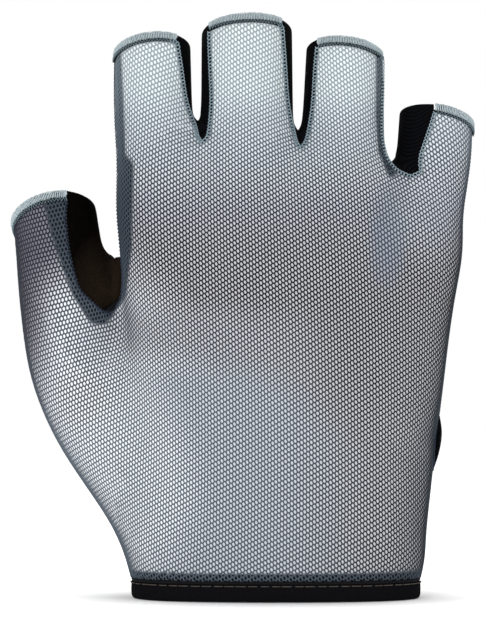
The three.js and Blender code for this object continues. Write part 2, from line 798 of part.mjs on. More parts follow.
function backPanel() {
  const { strips, rootRow } = fingerStrips("front");
  const outerAngle = outerAngleAt(crotchZ)[1];
  const thumbTop = cutEdge(limbs.thumb, outerSeam[0][1], thumbSeam[0][1], thumbColumns, hemHeight);
  const leftRow = acrossRow(crotchZ, "front", { angle: outerAngle }, { x: crotchX }, thumbColumns);
  const leftEnds = [outerThumb.at(-1), ...leftRow.slice(1, -1), crotchFront];
  const rightRow = acrossRow(crotchZ, "front", { x: crotchX }, { angle: littleAngle }, frontColumns);
  const rightEnds = [crotchFront, ...rightRow.slice(1, -1), littleUpper.at(-1)];
  const cuffAngle = outerAngleAt(cuffTop)[1];
  const cuffRow = acrossRow(
    cuffTop, "front", { angle: cuffAngle }, { angle: littleAngle }, thumbColumns + frontColumns,
  );
  const cuffEnds = [outerLower.at(-1), ...cuffRow.slice(1, -1), meshRight.at(-1)];
  const thumbEnds = [outerThumb[0], ...thumbTop.slice(1, -1), thumbRail[0]];
  const thumbGrid = patch(thumbEnds, leftEnds, outerThumb, thumbRail);
  const upperGrid = patch(rootRow, rightEnds, indexUpper, littleUpper);
  const lowerGrid = patch([...leftEnds, ...rightEnds.slice(1)], cuffEnds, outerLower, meshRight);
  return [...strips, thumbGrid, upperGrid, lowerGrid];
}

function palmPanel() {
  const { strips, rootRow } = fingerStrips("back");
  const outerAngle = outerAngleAt(crotchZ)[1];
  const thumbCount = thumbPalmColumns + webColumns;
  const fromAngle = outerSeam[0][1];
  const toAngle = thumbSeam[0][1] - 360;
  const thumbCut = cutEdge(limbs.thumb, fromAngle, toAngle, thumbCount, 0);
  const thumbEdge = cutEdge(limbs.thumb, fromAngle, toAngle, thumbCount, hemHeight);
  const thumbTop = [outerThumb[0], ...thumbEdge.slice(1, -1), thumbRail[0]];
  const leftRow = acrossRow(crotchZ, "back", { angle: outerAngle }, { x: crotchBack.x }, thumbPalmColumns);
  const leftEnds = [outerThumb.at(-1), ...leftRow.slice(1, -1), crotchBack];
  const rightRow = acrossRow(crotchZ, "back", { x: crotchBack.x }, { angle: littleAngle }, palmAcross);
  const rightEnds = [crotchBack, ...rightRow.slice(1, -1), littleUpper.at(-1)];
  const cuffAngle = outerAngleAt(cuffTop)[1];
  const cuffRow = acrossRow(
    cuffTop, "back", { angle: cuffAngle }, { angle: littleAngle }, thumbPalmColumns + palmAcross,
  );
  const cuffEnds = [outerLower.at(-1), ...cuffRow.slice(1, -1), littleLower.at(-1)];
  const overWeb = [...webLine].reverse();
  const thumbGrid = patch(thumbTop, [...leftEnds, ...overWeb.slice(1)], outerThumb, thumbRail);
  thumbGrid.unshift(thumbCut);
  const upperGrid = patch(rootRow, [...webLine, ...rightEnds.slice(1)], indexUpper, littleUpper);
  const lowerGrid = patch([...leftEnds, ...rightEnds.slice(1)], cuffEnds, outerLower, littleLower);
  return [...strips, thumbGrid, upperGrid, lowerGrid];
}

const forkCrown = gloveLength * 0.02;

// The strip between two fingers: down one finger's side, over the web and up the next one.
function forkPanel(fork) {
  const { frontSeam, backSeam } = fork;
  const gapMiddle = new THREE.Vector3(fork.gap.x * knuckleWidth, fork.gap.y * palmDepth, 0);
  gapMiddle.z = fork.bottom.z * gloveLength;
  const crown = castOut(gapMiddle, new THREE.Vector3(0, 0, 1));
  const armRows = (side, turn) => {
    const limb = limbs[fork[side]];
    const frontRail = frontSeam[side];
    const backRail = backSeam[side];
    const tip = cutEdge(limb, angleOf(limb, frontRail[0]), angleOf(limb, backRail[0]), forkColumns, 0);
    const lowest = fingerRows - 1;
    const arms = frontRail.slice(0, fingerRows).map((front, i) => {
      const straight = (front.z + backRail[i].z) / 2;
      const startZ = (frontRail[0].z + backRail[0].z) / 2;
      const crownZ = mix(startZ, crown.z + forkCrown, i / lowest);
      return wrapRow(limb, front, backRail[i], forkColumns, turn, crownZ - straight);
    });
    const shoulder = crown.clone().lerp(arms[lowest][Math.floor(forkColumns / 2)], 0.5);
    const corner = arch(frontRail[fingerRows], shoulder, backRail[fingerRows], forkColumns);
    return [tip, ...arms, corner];
  };
  const leftRows = armRows("left", 1);
  const rightRows = armRows("right", -1);
  const middleRow = arch(frontSeam.bottom, crown, backSeam.bottom, forkColumns);
  return [[...leftRows, middleRow, ...rightRows.reverse()]];
}

// How proud the pull tab stands: a low bow that is fullest near its upper end.
function tabRise({ z }) {
  const share = z < tabPeak ? (z - tabLow) / (tabPeak - tabLow) : (tabHigh - z) / (tabHigh - tabPeak);
  return tabProud * Math.sqrt(THREE.MathUtils.clamp(share, 0.04, 1));
}

// The pull tab lies between the mesh's drawn-back edge and the side seam.
function tabPanel() {
  const tabColumns = 3;
  const ends = littleLower.map((point, i) => [meshRight[i], point]);
  const inside = ends.filter(([edge, point]) => edge !== point);
  const first = littleLower.indexOf(inside[0][1]) - 1;
  const last = littleLower.indexOf(inside.at(-1)[1]) + 1;
  const rows = [];
  for (let i = first; i <= last; i += 1) {
    const [edge, point] = ends[i];
    const row = range(tabColumns).map((t) => settle(edge.clone().lerp(point, t)));
    rows.push(row.map((spot, j) => (j === tabColumns ? point : j === 0 ? edge : spot)));
  }
  return [rows];
}

// A hem along the mesh's cut edge of a limb.
function hemPiece(limb, from, to, count) {
  const angularGap = THREE.MathUtils.radToDeg(seamGap / 2 / (limb.at(limb.cut * gloveLength)[3]));
  const upperHalf = (hemHeight - seamGap / 2) / 2;
  const stations = range(count).map((t) => {
    const angle = mix(from + angularGap, to - angularGap, t);
    const point = cutPoint(limb, angle, upperHalf);
    const normal = normalAt(point);
    const axis = middleOf(limb, point.z + 1).sub(middleOf(limb, point.z - 1)).normalize();
    const upward = axis.addScaledVector(normal, -axis.dot(normal)).normalize();
    return {
      middle: point.clone().addScaledVector(normal, -meshWall / 2),
      outward: normal.clone().multiplyScalar(hemThickness / 2),
      upward: upward.multiplyScalar(upperHalf),
    };
  });
  return bandPiece(`${limb.name}_hem`, stations, false, overlock);
}

const cuffStations = 56;

// The ribbed binding round the wrist.
function cuffPiece() {
  const half = cuffStations / 2;
  const angle = outerAngleAt(cuffTop)[1];
  const halfHeight = (cuffHeight - seamGap / 2) / 2;
  const middleZ = draftLine + halfHeight;
  const front = acrossRow(middleZ, "front", { angle }, { angle: littleAngle }, half);
  const back = acrossRow(middleZ, "back", { angle }, { angle: littleAngle }, half).reverse();
  const stations = [...front.slice(0, -1), ...back.slice(0, -1)].map((point) => {
    const normal = normalAt(point).setZ(0).normalize();
    return {
      middle: point.clone().addScaledVector(normal, cuffProud - cuffThickness / 2),
      outward: normal.clone().multiplyScalar(cuffThickness / 2),
      upward: new THREE.Vector3(0, 0, halfHeight),
    };
  });
  return bandPiece("wrist_cuff", stations, true, binding);
}

const group = new THREE.Group();
group.add(clothPiece("back_panel", backPanel(), meshWall, mesh));
group.add(clothPiece("palm_panel", palmPanel(), suedeWall, suede));
for (const fork of forks) {
  group.add(clothPiece(fork.name, forkPanel(fork), knitWall, knit));
}
group.add(clothPiece("side_tab", tabPanel(), tabThickness, knit, tabRise));
group.add(hemPiece(limbs.thumb, outerSeam[0][1], thumbSeam[0][1], 9));
fingers.forEach((finger, i) => {
  const from = i === 0 ? indexSeam[0][1] : forks[i - 1].front.rightTip;
  const to = i === 3 ? littleAngle : forks[i].front.leftTip;
  group.add(hemPiece(finger, from, to, 8));
});
group.add(cuffPiece());

export default group;
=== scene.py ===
# %% [markdown]
# # A cycling glove with a netted back
#
# The solids of the glove are already packed as a frame, in metres, with the wrist opening at the origin
# and the fingers pointing up. This notebook dresses them: the net over the back of the glove, the suede
# palm, the knitted strips between the fingers, the overlocked edges and the ribbed wrist binding.
# Nothing moves on a glove that is only cloth, so every piece rides on the one body, "root".

import bisect
import math
import random

import bmesh
import bpy
from mathutils import Matrix, Vector
from mathutils.bvhtree import BVHTree
from mathutils.geometry import barycentric_transform


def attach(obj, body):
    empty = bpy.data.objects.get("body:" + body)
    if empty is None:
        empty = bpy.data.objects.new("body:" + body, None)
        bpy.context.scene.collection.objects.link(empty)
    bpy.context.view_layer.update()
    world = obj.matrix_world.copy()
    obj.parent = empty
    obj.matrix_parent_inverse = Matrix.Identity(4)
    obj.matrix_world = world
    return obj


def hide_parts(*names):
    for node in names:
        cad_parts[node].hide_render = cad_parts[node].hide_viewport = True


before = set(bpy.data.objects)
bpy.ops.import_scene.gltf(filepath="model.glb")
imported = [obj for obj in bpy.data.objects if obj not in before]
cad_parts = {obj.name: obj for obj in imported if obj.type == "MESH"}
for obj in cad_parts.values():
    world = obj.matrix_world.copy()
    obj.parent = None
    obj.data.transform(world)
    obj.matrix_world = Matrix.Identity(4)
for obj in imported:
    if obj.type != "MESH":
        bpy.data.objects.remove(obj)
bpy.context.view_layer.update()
scene = bpy.context.scene
MM = 0.001
print("solids:", ", ".join(sorted(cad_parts)))

# %% [markdown]
# ## Camera, floor and light
#
# The photograph looks straight at the back of the glove from about the height of its middle, with a long
# lens that hardly shows any perspective. A camera a little over a metre away gives the same view. It is
# level, so upright lines stay upright.

# %% Place the camera
lens = bpy.data.cameras.new("camera")
lens.sensor_fit = "HORIZONTAL"
lens.sensor_width = 36
lens.lens = 36 * 1150 / 133.65
camera = bpy.data.objects.new("camera", lens)
camera.location = (-0.0096, -1.150, 0.0791)
camera.rotation_euler = (math.pi / 2, 0, 0)
scene.collection.objects.link(camera)
scene.camera = camera
scene.view_settings.view_transform = "Standard"
print("lens: %.0f mm" % lens.lens)

# %% [markdown]
# A soft box is an area lamp: the larger it is, the softer the shadow edge. One large box above and in
# front on the left is the main light, a weaker one fills the right side, and a third above makes the
# paper floor white. The world gives the even glow of a white studio.


# %% Set up the studio
def soft_box(name, place, size, power):
    lamp = bpy.data.lights.new(name, "AREA")
    lamp.shape = "RECTANGLE"
    lamp.size, lamp.size_y = size
    lamp.energy = power
    holder = bpy.data.objects.new(name, lamp)
    holder.location = place
    aim = Vector((0, 0, 0.08)) - Vector(place)
    holder.rotation_euler = aim.to_track_quat("-Z", "Y").to_euler()
    scene.collection.objects.link(holder)


soft_box("main_box", (-0.35, -1.35, 0.55), (0.7, 0.7), 9.8)
soft_box("fill_box", (0.9, -1.0, 0.35), (0.7, 0.9), 1.6)
soft_box("top_box", (0, 0.25, 1.3), (1.6, 1.6), 11)

# The wall behind is pure white to the camera, and glows less than that on the glove.
world = bpy.data.worlds.new("studio")
world.use_nodes = True
wall = world.node_tree
seen = wall.nodes.new("ShaderNodeLightPath")
level = wall.nodes.new("ShaderNodeMapRange")
level.inputs["To Min"].default_value = 0.32
level.inputs["To Max"].default_value = 1.0
wall.links.new(seen.outputs["Is Camera Ray"], level.inputs["Value"])
wall.links.new(level.outputs["Result"], wall.nodes["Background"].inputs["Strength"])
wall.nodes["Background"].inputs["Color"].default_value = (1, 1, 1, 1)
scene.world = world

# %% [markdown]
# ## Nodes written as sums
#
# Shader maths is easier to read as a sum than as a tangle of boxes. `Wire` holds one output of a node, and
# its operators add the Math node that does the same. `Finish` is one material: its fixed values are set
# on the shader's own sockets, and `node` adds any other node.


# %% Write the two helpers
class Wire:
    def __init__(self, finish, socket):
        self.finish = finish
        self.socket = socket

    def maths(self, operation, first, second):
        return self.finish.node("ShaderNodeMath", {"operation": operation}, {0: first, 1: second})

    def __add__(self, other):
        return self.maths("ADD", self, other)

    def __mul__(self, other):
        return self.maths("MULTIPLY", self, other)

    def __radd__(self, other):
        return self.maths("ADD", other, self)

    def __rmul__(self, other):
        return self.maths("MULTIPLY", other, self)


class Finish:
    def __init__(self, name, **values):
        self.material = bpy.data.materials.new(name)
        self.material.use_nodes = True
        self.tree = self.material.node_tree
        self.shader = self.tree.nodes["Principled BSDF"]
        for key, value in values.items():
            self.shader.inputs[key.replace("_", " ")].default_value = value

    def plug(self, socket, value):
        if isinstance(value, Wire):
            self.tree.links.new(value.socket, socket)
        else:
            socket.default_value = value

    def node(self, kind, settings=None, sockets=None, output=0):
        made = self.tree.nodes.new(kind)
        for key, value in (settings or {}).items():
            setattr(made, key, value)
        for key, value in (sockets or {}).items():
            self.plug(made.inputs[key], value)
        return Wire(self, made.outputs[output])

    def place(self):
        return self.node("ShaderNodeTexCoord", output="Object")

    def painted(self, attribute):
        return self.node("ShaderNodeAttribute", {"attribute_name": attribute}, output="Color")

    def maths_of(self, operation, value):
        return self.node("ShaderNodeMath", {"operation": operation}, {0: value})

    def noise(self, size, detail):
        sockets = {"Vector": self.place(), "Scale": 1 / (size * MM), "Detail": detail}
        return self.node("ShaderNodeTexNoise", None, sockets)

    def blend(self, factor, first, second):
        colours = {0: factor, 6: first, 7: second}
        return self.node("ShaderNodeMix", {"data_type": "RGBA"}, colours, 2)

    def bump(self, height, depth, strength):
        sockets = {"Height": height, "Distance": depth * MM, "Strength": strength}
        self.plug(self.shader.inputs["Normal"], self.node("ShaderNodeBump", None, sockets))

    def colour(self, value):
        self.plug(self.shader.inputs["Base Color"], value)


# %% [markdown]
# A colour is written as six hexadecimal digits, as in any paint program. Blender's sockets want the same
# colour as shares of light, so the digits are turned into those.


# %% Read a colour
def linear(code):
    steps = [int(code[i : i + 2], 16) / 255 for i in (0, 2, 4)]
    return [s / 12.92 if s < 0.04045 else ((s + 0.055) / 1.055) ** 2.4 for s in steps]


def paint(code):
    return (*linear(code), 1.0)


# %% [markdown]
# The floor is a flat disc of white paper that glows a little, as paper does under strong studio light.
# Under the glove the glow fades to grey in a soft oval, which paints a soft shadow under the cuff.

# %% Lay the floor
FLOOR_RADIUS = 1.6
PAINTED_SHADOW_WIDE = 75 * MM
PAINTED_SHADOW_DEEP = 55 * MM
paper = Finish("floor_paper", Base_Color=(0.92, 0.92, 0.92, 1), Roughness=0.9)
paper.shader.inputs["Emission Strength"].default_value = 0.56
oval = {0: paper.place(), 1: (1 / PAINTED_SHADOW_WIDE, 1 / PAINTED_SHADOW_DEEP, 0)}
oval = paper.node("ShaderNodeVectorMath", {"operation": "MULTIPLY"}, oval)
away = paper.node("ShaderNodeVectorMath", {"operation": "LENGTH"}, {0: oval}, "Value")
soft_edge = {"Value": away, "From Min": 0.3}
glow_and_painted_shadow = paper.node("ShaderNodeMapRange", {"interpolation_type": "SMOOTHSTEP"}, soft_edge)
# Painted shadow: the floor's glow turns dark grey in the oval round the cuff.
glow_and_painted_shadow = paper.blend(glow_and_painted_shadow, paint("404040"), paint("ffffff"))
paper.plug(paper.shader.inputs["Emission Color"], glow_and_painted_shadow)
disc = bmesh.new()
bmesh.ops.create_circle(disc, cap_ends=True, segments=96, radius=FLOOR_RADIUS)
floor = bpy.data.objects.new("floor", bpy.data.meshes.new("floor"))
disc.to_mesh(floor.data)
disc.free()
floor.data.materials.append(paper.material)
scene.collection.objects.link(floor)
print("floor: %.1f m across" % (2 * FLOOR_RADIUS))

# %% [markdown]
# ## From a solid to cloth
#
# A CAD node arrives as loose triangles. A copy of it is merged and its triangles joined into four-sided
# faces, so a subdivision surface can round it. The wall is thin, and a plain subdivision would draw its
# rims in and open the seams, so the sharp rim edges get a crease that holds them in place.


# %% Copy and round the solids
WELD = 0.005 * MM
RIM_ANGLE = math.radians(50)
RIM_CREASE = 0.9


def cloth_copy(node, levels=1):
    copy = bmesh.new()
    copy.from_mesh(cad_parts[node].data)
    bmesh.ops.remove_doubles(copy, verts=copy.verts, dist=WELD)
    bmesh.ops.join_triangles(
        copy, faces=copy.faces, angle_face_threshold=0.5, angle_shape_threshold=1.1
    )
    sharp = copy.edges.layers.float.new("crease_edge")
    for edge in copy.edges:
        if len(edge.link_faces) == 2 and edge.calc_face_angle() > RIM_ANGLE:
            edge[sharp] = RIM_CREASE
    mesh = bpy.data.meshes.new(node)
    copy.to_mesh(mesh)
    copy.free()
    return rounded(mesh, levels)


def rounded(mesh, levels):
    holder = bpy.data.objects.new("rounding", mesh)
    scene.collection.objects.link(holder)
    surface = holder.modifiers.new("round", "SUBSURF")
    surface.levels = surface.render_levels = levels
    view = holder.evaluated_get(bpy.context.evaluated_depsgraph_get())
    made = bpy.data.meshes.new_from_object(view)
    bpy.data.objects.remove(holder)
    bpy.data.meshes.remove(mesh)
    return made


# %% [markdown]
# Every finished mesh becomes a piece in the same way: it gets its finish, rides on the body and, where
# it dresses a solid, hides that solid.


# %% Add a piece
def add_piece(name, mesh, finish, stands_for=None):
    piece = bpy.data.objects.new(name, mesh)
    scene.collection.objects.link(piece)
    mesh.name = name
    mesh.materials.clear()
    mesh.materials.append(finish.material)
    mesh.polygons.foreach_set("use_smooth", [True] * len(mesh.polygons))
    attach(piece, "root")
    if stands_for:
        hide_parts(stands_for)
    triangles = sum(len(face.vertices) - 2 for face in mesh.polygons)
    print("%s: %d triangles" % (name, triangles))


# %% [markdown]
# ## The print
#
# The cloth is printed in a soft fade from pale grey-blue at the finger ends to near-black at the knuckles,
# with soft patches over it. It could be an image, but a few named patches are enough: each fade gives the
# colour at a few heights, in millimetres, and each patch is a soft oval. The net's yarn and the pale
# ground behind it are printed alike, with lighter colours on the ground.

# %% Set out the colours
yarn_fade = [
    (163, "98a5aa"),
    (148, "92a0a6"),
    (139, "8b989f"),
    (131, "6c7780"),
    (123, "565f68"),
    (115, "3d434c"),
    (107, "2c2f38"),
    (98, "1d1d22"),
    (90, "121214"),
    (82, "141417"),
    (74, "2e3138"),
    (65, "43474e"),
    (50, "464a51"),
    (4, "42464d"),
]
ground_fade = [
    (163, "ecf1f2"),
    (148, "eaeff1"),
    (139, "e8eef0"),
    (131, "dfe5ea"),
    (123, "dbe1e6"),
    (115, "d3d7dd"),
    (107, "c1c4cc"),
    (98, "bcbdc4"),
    (82, "babac1"),
    (65, "c4c6cb"),
    (4, "c2c4c8"),
]

# Each patch: name, middle across and up, half width, half height, turn, soft edge, yarn, ground, strength.
patches = [
    ("left light", -46, 48, 27, 46, 14, 0.35, "4a505a", "eef2f6", 0.95),
    ("cuff dome", -20, 18, 50, 46, -6, 0.13, "4d555f", "c8cdd4", 0.85),
    ("dome left", -46, 36, 22, 30, 16, 0.30, "59616b", "f0f3f7", 0.9),
    ("thumb root", -50, 69.5, 17, 10, 30, 0.60, "4c535d", "eaedf2", 0.8),
    ("knuckle haze", -19, 72.5, 27, 7, -4, 0.60, "3a3e46", "c6c8ce", 0.8),
    ("left shade", -53, 55.5, 10, 7, 35, 0.80, "42464f", "eceff3", 0.8),
    ("outer shade", 36, 69.5, 26, 21, 28, 0.60, "0c0c0f", "b4b4ba", 0.95),
    ("outer streak", 30, 99.5, 5, 13, -4, 0.50, "43485a", "9ba3ac", 0.8),
    ("edge haze", 42, 106.5, 9, 11, 0, 0.80, "4f5661", "d2d8de", 0.6),
    ("outer side", 34, 24, 22, 40, 0, 0.80, "1c2026", "c0c1c5", 0.9),
    ("outer edge", 47, 30, 11, 46, -8, 0.60, "1c2026", "9a9ea6", 0.9),
    ("thumb shade", -66, 102.5, 20, 14, 0, 0.60, "161824", "777984", 0.95),
    ("thumb flank", -72, 88.5, 7, 26, 8, 0.70, "2a2932", "63636f", 0.9),
]


# %% [markdown]
# The colour at a place is the fade's, with the patches laid over it one by one. A patch is turned and
# squeezed into a circle first, and a smooth step gives it its soft edge.


# %% Find the colour at a place
def mixed(first, second, share):
    return [a + (b - a) * share for a, b in zip(first, second)]


def smooth_step(low, high, value):
    share = min(1, max(0, (value - low) / (high - low)))
    return share * share * (3 - 2 * share)


def faded(stops, height):
    for (upper, above), (lower, below) in zip(stops, stops[1:]):
        if height >= lower:
            share = min(1, max(0, (upper - height) / (upper - lower)))
            return mixed(linear(above), linear(below), share)
    return linear(stops[-1][1])


def printed(across, height, layer):
    colour = faded(ground_fade if layer == "ground" else yarn_fade, height)
    for _, x, z, wide, high, turn, soft, yarn, ground, strength in patches:
        c, s = math.cos(math.radians(turn)), math.sin(math.radians(turn))
        dx, dz = across - x, height - z
        far = math.hypot((c * dx + s * dz) / wide, (c * dz - s * dx) / high)
        share = strength * (1 - smooth_step(1 - soft, 1 + soft, far))
        if share > 0:
            colour = mixed(colour, linear(ground if layer == "ground" else yarn), share)
    return colour


# %% [markdown]
# Along some edges the cloth is turned under and lies double: beside the opening of the thumb, up the
# outer edge of the first finger, beside the ring finger's outer edge and just above the cuff. No pale
# ground shows there, so the holes look black. Each doubled strip is a line with a width.

# %% Mark the doubled strips
doubled = [
    ("thumb, inner side", 3.6, [(-43, 118), (-43.5, 96.5), (-45, 84.5), (-49, 78.5)]),
    ("thumb, outer side", 3.6, [(-49, 78.5), (-53, 84.5), (-56.5, 94.5), (-59, 102.5), (-60.5, 109)]),
    ("first finger edge", 1.5, [(-44.6, 150), (-43.8, 136.5), (-43.4, 126.5), (-43, 116.5)]),
    ("ring finger edge", 1.3, [(28.2, 152), (28.0, 132.5), (28.6, 122.5), (31, 116.5)]),
    ("above the cuff", 1.7, [(-45, 6.4), (0, 6.2), (45, 6.6)]),
]


# %% [markdown]
# The colours are worked out once for each point and stored on the mesh as an attribute, which the
# material reads. On the sides, where the cloth turns away to the palm, painted shade darkens the print.


# %% Dye a mesh
def line_distance(point, line):
    best = 1e9
    for first, second in zip(line, line[1:]):
        a, b = Vector(first), Vector(second)
        share = min(1, max(0, (point - a).dot(b - a) / (b - a).length_squared))
        best = min(best, (point - a.lerp(b, share)).length)
    return best


def doubling(across, height):
    spot = Vector((across, height))
    return max(1 - smooth_step(w - 0.4, w + 0.4, line_distance(spot, line)) for _, w, line in doubled)


def dye(mesh, layer, gain=1.0):
    colours = []
    for point in mesh.vertices:
        across, height = point.co.x / MM, point.co.z / MM
        colour = printed(across, height, layer)
        double = doubling(across, height) if point.co.y < 6 * MM else 0
        # Painted shade: darker and bluer where the surface faces away from the camera, towards the palm.
        turned = 0.8 * smooth_step(0.5, 0.95, 1 + point.normal.y)
        if layer == "ground":
            colour = mixed(mixed(colour, linear("2c343f"), turned), linear("0c0d11"), double)
        else:
            bluer = [0.75 * c for c in mixed(colour, linear("5b6a7a"), 0.5)]
            colour = mixed(mixed(colour, linear("4d5b68"), 0.6 * turned), bluer, double)
        colours += [gain * c for c in colour] + [1.0]
    mesh.color_attributes.new("print", "FLOAT_COLOR", "POINT").data.foreach_set("color", colours)


# %% [markdown]
# ## The ground of the back
#
# Behind the net lies a pale, closely knitted ground. It is the back panel's own solid, rounded, with
# the print on its points.

# %% Make the ground
ground = Finish("knitted_ground", Roughness=0.9, Specular_IOR_Level=0.2)
fibres = ground.noise(0.12, 3)
ground.colour(ground.painted("print"))
ground.bump(fibres, 0.05, 0.5)
back_mesh = cloth_copy("back_panel", 1)
fine = bmesh.new()
fine.from_mesh(back_mesh)
bmesh.ops.subdivide_edges(fine, edges=fine.edges, cuts=2, use_grid_fill=True)
ground_mesh = bpy.data.meshes.new("back_ground")
fine.to_mesh(ground_mesh)
fine.free()
dye(ground_mesh, "ground", 0.97)
add_piece("back_ground", ground_mesh, ground, "back_panel")

# %% [markdown]
# ## Laying the net flat
#
# The net's cells run evenly over the cloth because it was cut from a flat knit. So the net is made flat
# too, on the unwrapped outer sheet of the back, and then carried back to the glove. First the outer
# sheet is picked out: starting at the face nearest the camera, its neighbours are added as long as the
# surface doesn't turn a sharp corner, which it only does at the rim.


# %% Pick the outer sheet
def outer_sheet(mesh, toward):
    sheet = bmesh.new()
    sheet.from_mesh(mesh)
    sheet.faces.ensure_lookup_table()
    seed = max(sheet.faces, key=lambda face: face.calc_center_median().dot(toward))
    found, edge_of_search = {seed}, [seed]
    while edge_of_search:
        face = edge_of_search.pop()
        for edge in face.edges:
            for other in edge.link_faces:
                if other not in found and face.normal.angle(other.normal) < math.radians(40):
                    found.add(other)
                    edge_of_search.append(other)
    others = [face for face in sheet.faces if face not in found]
    bmesh.ops.delete(sheet, geom=others, context="FACES")
    sheet.normal_update()
    return sheet


back_sheet = outer_sheet(back_mesh, Vector((0, -1, 0)))
area = sum(face.calc_area() for face in back_sheet.faces)
print("outer sheet: %d faces, %.0f mm2" % (len(back_sheet.faces), area / MM**2))

# %% [markdown]
# Unwrapping lays the sheet flat. The result comes out at some size and turn, so it is scaled until the
# flat area equals the real one, and turned until up on the flat is up on the glove.


# %% Unwrap it
def laid_flat(sheet):
    sheet.faces.ensure_lookup_table()
    mesh = bpy.data.meshes.new("flat_pattern")
    bmesh.ops.triangulate(sheet, faces=sheet.faces)
    sheet.to_mesh(mesh)
    holder = bpy.data.objects.new("flat_pattern", mesh)
    scene.collection.objects.link(holder)
    bpy.context.view_layer.objects.active = holder
    holder.select_set(True)
    bpy.ops.object.mode_set(mode="EDIT")
    bpy.ops.mesh.select_all(action="SELECT")
    bpy.ops.uv.unwrap(method="ANGLE_BASED", margin=0)
    bpy.ops.object.mode_set(mode="OBJECT")
    spots = [None] * len(mesh.vertices)
    for loop, texel in zip(mesh.loops, mesh.uv_layers.active.data):
        spots[loop.vertex_index] = texel.uv.copy()
    corners = [tuple(face.vertices) for face in mesh.polygons]
    solid = [point.co.copy() for point in mesh.vertices]
    normals = [point.normal.copy() for point in mesh.vertices]
    bpy.data.objects.remove(holder)
    flat = sum(abs((spots[b] - spots[a]).cross(spots[c] - spots[a])) / 2 for a, b, c in corners)
    real = sum((solid[b] - solid[a]).cross(solid[c] - solid[a]).length / 2 for a, b, c in corners)
    size = math.sqrt(real / flat)
    middle = sum(spots, Vector((0, 0))) / len(spots)
    centre = sum(solid, Vector((0, 0, 0))) / len(solid)
    pairs = [(uv - middle, co - centre) for uv, co in zip(spots, solid)]
    turn = math.atan2(
        sum(uv.x * co.z - uv.y * co.x for uv, co in pairs),
        sum(uv.x * co.x + uv.y * co.z for uv, co in pairs),
    )
    c, s = size * math.cos(turn), size * math.sin(turn)
    flat_points = [Vector((c * uv.x - s * uv.y, s * uv.x + c * uv.y, 0)) for uv, _ in pairs]
    return flat_points, solid, normals, corners


flat_points, solid_points, solid_normals, corners = laid_flat(back_sheet)
flat_tree = BVHTree.FromPolygons(flat_points, corners)
spread = [max(p[i] for p in flat_points) - min(p[i] for p in flat_points) for i in (0, 1)]
print("flat pattern: %.0f x %.0f mm" % (spread[0] / MM, spread[1] / MM))

# %% [markdown]
# ## Knitting the net
#
# The net is a honeycomb that is stretched a little lengthwise. One pair of hexagons is repeated by two
# arrays until it covers the flat pattern, and the cells outside the pattern are dropped. Insetting each
# cell leaves a band of yarn round each hole. The outline of the cell is the top of the yarn, so it is
# raised, and the inset line is its foot. That gives a round strand for only twelve triangles a cell.

# %% Make the honeycomb
CLOSE = 0.02 * MM
CELL_WIDE = 0.865 * MM
CELL_HIGH = 1.36 * MM
SKEW = -0.24
STRAND = 0.42 * MM
HOLE_SQUASH = 0.88
YARN_RISE = 0.20 * MM
YARN_SINK = 0.03 * MM
MAP_SIZE = 170 * MM


def honeycomb():
    low = [min(p[i] for p in flat_points) for i in (0, 1)]
    pair = bmesh.new()
    for step in (0, 1):
        place = Matrix.Translation((step * CELL_WIDE, step * CELL_HIGH / 2, 0))
        stretch = Matrix.Diagonal((CELL_WIDE / 1.5, CELL_HIGH / math.sqrt(3), 1, 1))
        turn = Matrix.Rotation(math.radians(30), 4, "Z")
        bmesh.ops.create_circle(
            pair, cap_ends=True, segments=6, radius=1, matrix=place @ stretch @ turn
        )
    corner = (low[0], low[1] - abs(SKEW) * spread[0], 0)
    bmesh.ops.translate(pair, verts=pair.verts, vec=corner)
    mesh = bpy.data.meshes.new("honeycomb")
    pair.to_mesh(mesh)
    pair.free()
    holder = bpy.data.objects.new("honeycomb", mesh)
    scene.collection.objects.link(holder)
    tall = spread[1] + 2 * abs(SKEW) * spread[0]
    for axis, step, reach in ((0, 2 * CELL_WIDE, spread[0]), (1, CELL_HIGH, tall)):
        row = holder.modifiers.new("row", "ARRAY")
        row.use_relative_offset = False
        row.use_constant_offset = True
        row.constant_offset_displace = (step if axis == 0 else 0, step if axis == 1 else 0, 0)
        row.count = math.ceil(reach / step) + 1
    view = holder.evaluated_get(bpy.context.evaluated_depsgraph_get())
    comb = bmesh.new()
    comb.from_mesh(view.to_mesh())
    bpy.data.objects.remove(holder)
    bmesh.ops.remove_doubles(comb, verts=comb.verts, dist=CLOSE)
    for point in comb.verts:
        point.co.y += SKEW * point.co.x
    return comb


# %% [markdown]
# The cells whose middle lies off the pattern are dropped, and every other cell gets its hole.

# %% Cut the net to the pattern
net = honeycomb()
outside = []
for cell in net.faces:
    if flat_tree.find_nearest(cell.calc_center_median())[3] > CLOSE:
        outside.append(cell)
bmesh.ops.delete(net, geom=outside, context="FACES")
ridges = set(net.verts)
holes = list(net.faces)
bmesh.ops.inset_individual(net, faces=holes, thickness=STRAND / 2, use_even_offset=True)
for hole in holes:
    middle = hole.calc_center_median()
    for point in hole.verts:
        point.co.y += (1 - HOLE_SQUASH) * (middle.y - point.co.y)
bmesh.ops.delete(net, geom=holes, context="FACES")
print("net: %d cells" % len(holes))

# %% [markdown]
# Now each point of the flat net looks up the triangle of the pattern that it lies on, and moves to the
# same place in that triangle on the glove. The flat place, as a share of the whole pattern, is kept as
# the piece's own UV map.

